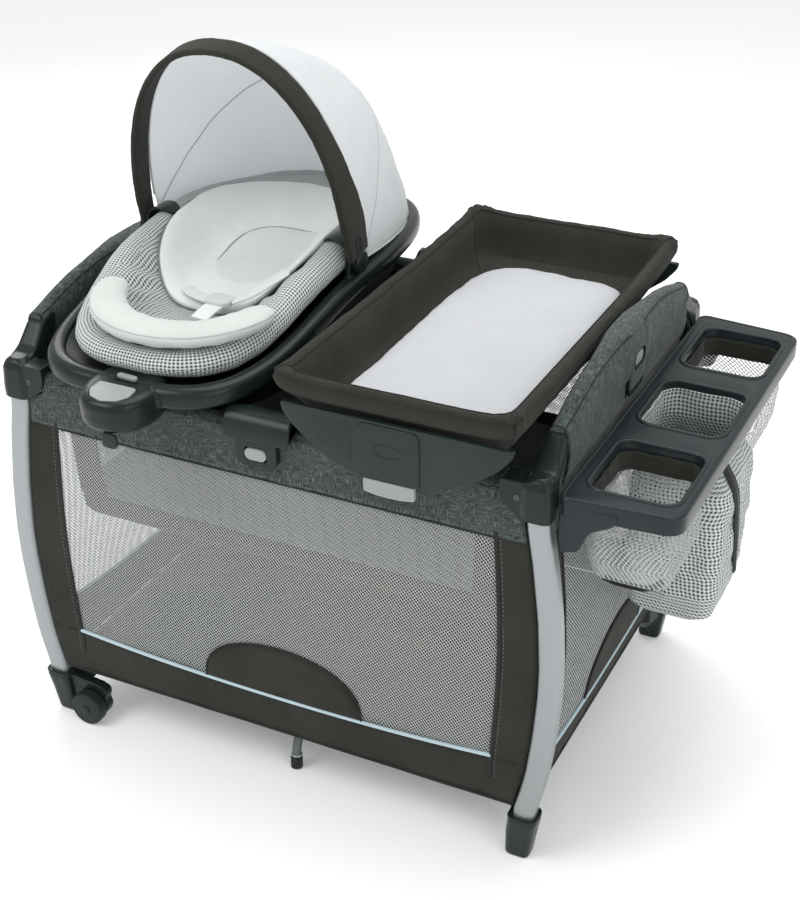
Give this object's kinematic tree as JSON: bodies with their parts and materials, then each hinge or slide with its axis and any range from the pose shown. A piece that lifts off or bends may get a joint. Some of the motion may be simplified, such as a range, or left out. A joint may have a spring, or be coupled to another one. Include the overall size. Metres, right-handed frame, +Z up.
{
  "type": "travel play yard",
  "caption": "Folding travel play yard with mesh walls, a bassinet insert, an infant seat with canopy, a lift-off changer and a side organizer with hanging pockets.",
  "frame": {"origin": "on the floor at the centre of the leg frame, under the hub's foot", "axes": "+X to the right along the long side, -Y to the front long side, +Z up"},
  "size_m": [1.219, 0.9325, 1.2436],
  "materials": {
    "dark_plastic": "fine satin texture, semi-gloss",
    "leg_tube": "satin silver powder coat",
    "inner_tube": "dark grey powder coat",
    "light_plastic": "light grey, semi-gloss",
    "wheel_plastic": "matte dark grey",
    "mesh_net": "light grey knitted net, 5 mm pitch, dark woven borders",
    "dark_fabric": "dark charcoal woven polyester",
    "heather_fabric": "heather grey melange weave",
    "gingham_fabric": "small gingham check, white and grey-green",
    "white_fabric": "white brushed microfibre",
    "organizer_plastic": "satin, slate grey"
  },
  "bodies": {
    "frame_front_left": {"leg_front_left": "leg_tube", "corner_cap_front_left": "dark_plastic", "foot_front_left": "dark_plastic", "wall_front": "mesh_net", "wall_left": "mesh_net", "floor_panel": "dark_fabric"},
    "frame_front_right": {"leg_front_right": "leg_tube", "corner_cap_front_right": "dark_plastic", "foot_front_right": "dark_plastic", "wall_right": "mesh_net"},
    "frame_back_right": {"leg_back_right": "leg_tube", "corner_cap_back_right": "dark_plastic", "foot_back_right": "dark_plastic"},
    "frame_back_left": {"leg_back_left": "leg_tube", "corner_cap_back_left": "dark_plastic", "foot_back_left": "dark_plastic", "wall_back": "mesh_net"},
    "wheel_front_left": {"wheel_front_left": "wheel_plastic"},
    "wheel_back_left": {"wheel_back_left": "wheel_plastic"},
    "hub": {"hub": "dark_plastic"},
    "support_front": {"support_leg_front": "inner_tube"},
    "support_back": {"support_leg_back": "inner_tube"},
    "bassinet": {"bassinet": "heather_fabric", "mattress": "heather_fabric"},
    "seat": {"seat_base": "dark_plastic", "seat_cushion": "gingham_fabric", "body_pillow": "white_fabric", "canopy_cover": "white_fabric"},
    "canopy": {"canopy_bow": "dark_fabric"},
    "seat_button": {"seat_release_button": "light_plastic"},
    "vibration_switch": {"vibration_switch": "light_plastic"},
    "changer": {"changer_tray": "dark_fabric", "changer_pad": "white_fabric", "changer_frame": "dark_plastic"},
    "changer_tab_front": {"changer_tab_front": "light_plastic"},
    "changer_tab_back": {"changer_tab_back": "light_plastic"},
    "organizer": {"organizer_tray": "organizer_plastic", "organizer_bag_front": "mesh_net", "organizer_bag_middle": "gingham_fabric", "organizer_bag_back": "mesh_net"},
    "floor_tube_front_left": {"floor_tube_front_left": "inner_tube"},
    "floor_tube_front_right": {"floor_tube_front_right": "inner_tube"},
    "floor_tube_back_right": {"floor_tube_back_right": "inner_tube"},
    "floor_tube_back_left": {"floor_tube_back_left": "inner_tube"},
    "front_rail_left": {"front_rail_left": "inner_tube"},
    "front_rail_right": {"front_rail_right": "inner_tube"},
    "back_rail_left": {"back_rail_left": "inner_tube"},
    "back_rail_right": {"back_rail_right": "inner_tube"},
    "left_rail_front": {"left_rail_front": "inner_tube"},
    "left_rail_back": {"left_rail_back": "inner_tube"},
    "right_rail_front": {"right_rail_front": "inner_tube"},
    "right_rail_back": {"right_rail_back": "inner_tube"},
    "latch_front": {"latch_front": "dark_plastic"},
    "latch_button_front": {"latch_button_front": "light_plastic"},
    "latch_back": {"latch_back": "dark_plastic"},
    "latch_button_back": {"latch_button_back": "light_plastic"},
    "latch_left": {"latch_left": "dark_plastic"},
    "latch_button_left": {"latch_button_left": "light_plastic"},
    "latch_right": {"latch_right": "dark_plastic"},
    "latch_button_right": {"latch_button_right": "light_plastic"}
  },
  "joints": [
    {"name": "fold", "type": "hinge", "parent": "frame_front_left", "child": "floor_tube_front_left", "pos_m": [-0.448, -0.305, 0.075], "axis": [0.5281, -0.8492, 0], "range_deg": [0, 82], "deforming": ["wall_front", "wall_back", "wall_left", "wall_right", "floor_panel", "bassinet", "mattress"]},
    {"name": "hub_level", "type": "hinge", "parent": "floor_tube_front_left", "child": "hub", "pos_m": [-0.038, -0.05, 0.075], "axis": [-0.5281, 0.8492, 0], "range_deg": [0, 82]},
    {"name": "floor_tube_front_right_fold", "type": "hinge", "parent": "hub", "child": "floor_tube_front_right", "pos_m": [0.038, -0.05, 0.075], "axis": [0.5281, 0.8492, 0], "range_deg": [0, 82]},
    {"name": "leg_front_right_upright", "type": "hinge", "parent": "floor_tube_front_right", "child": "frame_front_right", "pos_m": [0.448, -0.305, 0.075], "axis": [-0.5281, -0.8492, 0], "range_deg": [0, 82]},
    {"name": "floor_tube_back_right_fold", "type": "hinge", "parent": "hub", "child": "floor_tube_back_right", "pos_m": [0.038, 0.05, 0.075], "axis": [-0.5281, 0.8492, 0], "range_deg": [0, 82]},
    {"name": "leg_back_right_upright", "type": "hinge", "parent": "floor_tube_back_right", "child": "frame_back_right", "pos_m": [0.448, 0.305, 0.075], "axis": [0.5281, -0.8492, 0], "range_deg": [0, 82]},
    {"name": "floor_tube_back_left_fold", "type": "hinge", "parent": "hub", "child": "floor_tube_back_left", "pos_m": [-0.038, 0.05, 0.075], "axis": [-0.5281, -0.8492, 0], "range_deg": [0, 82]},
    {"name": "leg_back_left_upright", "type": "hinge", "parent": "floor_tube_back_left", "child": "frame_back_left", "pos_m": [-0.448, 0.305, 0.075], "axis": [0.5281, 0.8492, 0], "range_deg": [0, 82]},
    {"name": "front_rail_left_fold", "type": "hinge", "parent": "frame_front_left", "child": "front_rail_left", "pos_m": [-0.44, -0.355, 0.71], "axis": [0, 1, 0], "range_deg": [0, 82]},
    {"name": "front_rail_right_fold", "type": "hinge", "parent": "frame_front_right", "child": "front_rail_right", "pos_m": [0.44, -0.355, 0.71], "axis": [0, -1, 0], "range_deg": [0, 82]},
    {"name": "latch_front_level", "type": "hinge", "parent": "front_rail_left", "child": "latch_front", "pos_m": [-0.03, -0.355, 0.71], "axis": [0, -1, 0], "range_deg": [0, 82]},
    {"name": "back_rail_left_fold", "type": "hinge", "parent": "frame_back_left", "child": "back_rail_left", "pos_m": [-0.44, 0.355, 0.71], "axis": [0, 1, 0], "range_deg": [0, 82]},
    {"name": "back_rail_right_fold", "type": "hinge", "parent": "frame_back_right", "child": "back_rail_right", "pos_m": [0.44, 0.355, 0.71], "axis": [0, -1, 0], "range_deg": [0, 82]},
    {"name": "latch_back_level", "type": "hinge", "parent": "back_rail_left", "child": "latch_back", "pos_m": [-0.03, 0.355, 0.71], "axis": [0, -1, 0], "range_deg": [0, 82]},
    {"name": "left_rail_front_fold", "type": "hinge", "parent": "frame_front_left", "child": "left_rail_front", "pos_m": [-0.479, -0.285, 0.77], "axis": [-1, 0, 0], "range_deg": [0, 82]},
    {"name": "left_rail_back_fold", "type": "hinge", "parent": "frame_back_left", "child": "left_rail_back", "pos_m": [-0.479, 0.285, 0.77], "axis": [1, 0, 0], "range_deg": [0, 82]},
    {"name": "latch_left_level", "type": "hinge", "parent": "left_rail_front", "child": "latch_left", "pos_m": [-0.479, -0.03, 0.77], "axis": [1, 0, 0], "range_deg": [0, 82]},
    {"name": "right_rail_front_fold", "type": "hinge", "parent": "frame_front_right", "child": "right_rail_front", "pos_m": [0.479, -0.285, 0.77], "axis": [-1, 0, 0], "range_deg": [0, 82]},
    {"name": "right_rail_back_fold", "type": "hinge", "parent": "frame_back_right", "child": "right_rail_back", "pos_m": [0.479, 0.285, 0.77], "axis": [1, 0, 0], "range_deg": [0, 82]},
    {"name": "latch_right_level", "type": "hinge", "parent": "right_rail_front", "child": "latch_right", "pos_m": [0.479, -0.03, 0.77], "axis": [1, 0, 0], "range_deg": [0, 82]},
    {"name": "support_leg_front_fold", "type": "hinge", "parent": "hub", "child": "support_front", "pos_m": [0.015, -0.078, 0.068], "axis": [1, 0, 0], "range_deg": [0, 90.2]},
    {"name": "support_leg_back_fold", "type": "hinge", "parent": "hub", "child": "support_back", "pos_m": [-0.015, 0.078, 0.068], "axis": [-1, 0, 0], "range_deg": [0, 90.2]},
    {"name": "bassinet_lift_out", "type": "slide", "parent": "frame_front_left", "child": "bassinet", "axis": [0, 0, 1], "range_m": [0, 0.6012]},
    {"name": "latch_front_press", "type": "slide", "parent": "latch_front", "child": "latch_button_front", "axis": [0, 1, 0], "range_m": [0, 0.0033], "stiffness_N_per_m": 300},
    {"name": "latch_back_press", "type": "slide", "parent": "latch_back", "child": "latch_button_back", "axis": [0, -1, 0], "range_m": [0, 0.0033], "stiffness_N_per_m": 300},
    {"name": "latch_right_press", "type": "slide", "parent": "latch_right", "child": "latch_button_right", "axis": [-1, 0, 0], "range_m": [0, 0.0033], "stiffness_N_per_m": 300},
    {"name": "latch_left_press", "type": "slide", "parent": "latch_left", "child": "latch_button_left", "axis": [1, 0, 0], "range_m": [0, 0.0033], "stiffness_N_per_m": 300},
    {"name": "wheel_front_left_spin", "type": "hinge", "parent": "frame_front_left", "child": "wheel_front_left", "pos_m": [-0.402, -0.38, 0.0335], "axis": [0, 1, 0], "continuous": true},
    {"name": "wheel_back_left_spin", "type": "hinge", "parent": "frame_back_left", "child": "wheel_back_left", "pos_m": [-0.402, 0.38, 0.0335], "axis": [0, 1, 0], "continuous": true},
    {"name": "seat_lift_off", "type": "slide", "parent": "bassinet", "child": "seat", "axis": [0, 0, 1], "range_m": [0, 0.12]},
    {"name": "changer_lift_off", "type": "slide", "parent": "bassinet", "child": "changer", "axis": [0, 0, 1], "range_m": [0, 0.12]},
    {"name": "organizer_unhook", "type": "slide", "parent": "bassinet", "child": "organizer", "axis": [0.3162, 0, 0.9487], "range_m": [0, 0.12]},
    {"name": "canopy_fold", "type": "hinge", "parent": "seat", "child": "canopy", "pos_m": [-0.222, 0, 0.865], "axis": [-1, 0, 0], "range_deg": [0, 75], "deforming": ["canopy_cover"]},
    {"name": "seat_release_press", "type": "slide", "parent": "seat", "child": "seat_button", "axis": [0, 0, -1], "range_m": [0, 0.004], "stiffness_N_per_m": 300},
    {"name": "vibration_switch_slide", "type": "slide", "parent": "seat", "child": "vibration_switch", "axis": [1, 0, 0], "range_m": [0, 0.006]},
    {"name": "changer_tab_front_pull", "type": "hinge", "parent": "changer", "child": "changer_tab_front", "pos_m": [0.248, -0.398, 0.692], "axis": [-1, 0, 0], "range_deg": [0, 15], "stiffness_Nm_per_rad": 0.3},
    {"name": "changer_tab_back_pull", "type": "hinge", "parent": "changer", "child": "changer_tab_back", "pos_m": [0.248, 0.386, 0.692], "axis": [1, 0, 0], "range_deg": [0, 15], "stiffness_Nm_per_rad": 0.3}
  ],
  "couplings": [
    {"joint": "hub_level", "follows": "fold", "ratio": 1},
    {"joint": "floor_tube_front_right_fold", "follows": "fold", "ratio": 1},
    {"joint": "leg_front_right_upright", "follows": "fold", "ratio": 1},
    {"joint": "floor_tube_back_right_fold", "follows": "fold", "ratio": 1},
    {"joint": "leg_back_right_upright", "follows": "fold", "ratio": 1},
    {"joint": "floor_tube_back_left_fold", "follows": "fold", "ratio": 1},
    {"joint": "leg_back_left_upright", "follows": "fold", "ratio": 1},
    {"joint": "front_rail_left_fold", "follows": "fold", "ratio": 1},
    {"joint": "front_rail_right_fold", "follows": "fold", "ratio": 1},
    {"joint": "latch_front_level", "follows": "fold", "ratio": 1},
    {"joint": "back_rail_left_fold", "follows": "fold", "ratio": 1},
    {"joint": "back_rail_right_fold", "follows": "fold", "ratio": 1},
    {"joint": "latch_back_level", "follows": "fold", "ratio": 1},
    {"joint": "left_rail_front_fold", "follows": "fold", "ratio": 1},
    {"joint": "left_rail_back_fold", "follows": "fold", "ratio": 1},
    {"joint": "latch_left_level", "follows": "fold", "ratio": 1},
    {"joint": "right_rail_front_fold", "follows": "fold", "ratio": 1},
    {"joint": "right_rail_back_fold", "follows": "fold", "ratio": 1},
    {"joint": "latch_right_level", "follows": "fold", "ratio": 1},
    {"joint": "support_leg_front_fold", "follows": "fold", "ratio": 1.0975},
    {"joint": "support_leg_back_fold", "follows": "fold", "ratio": 1.0975},
    {"joint": "bassinet_lift_out", "follows": "fold", "m_per_rad": 0.42}
  ]
}
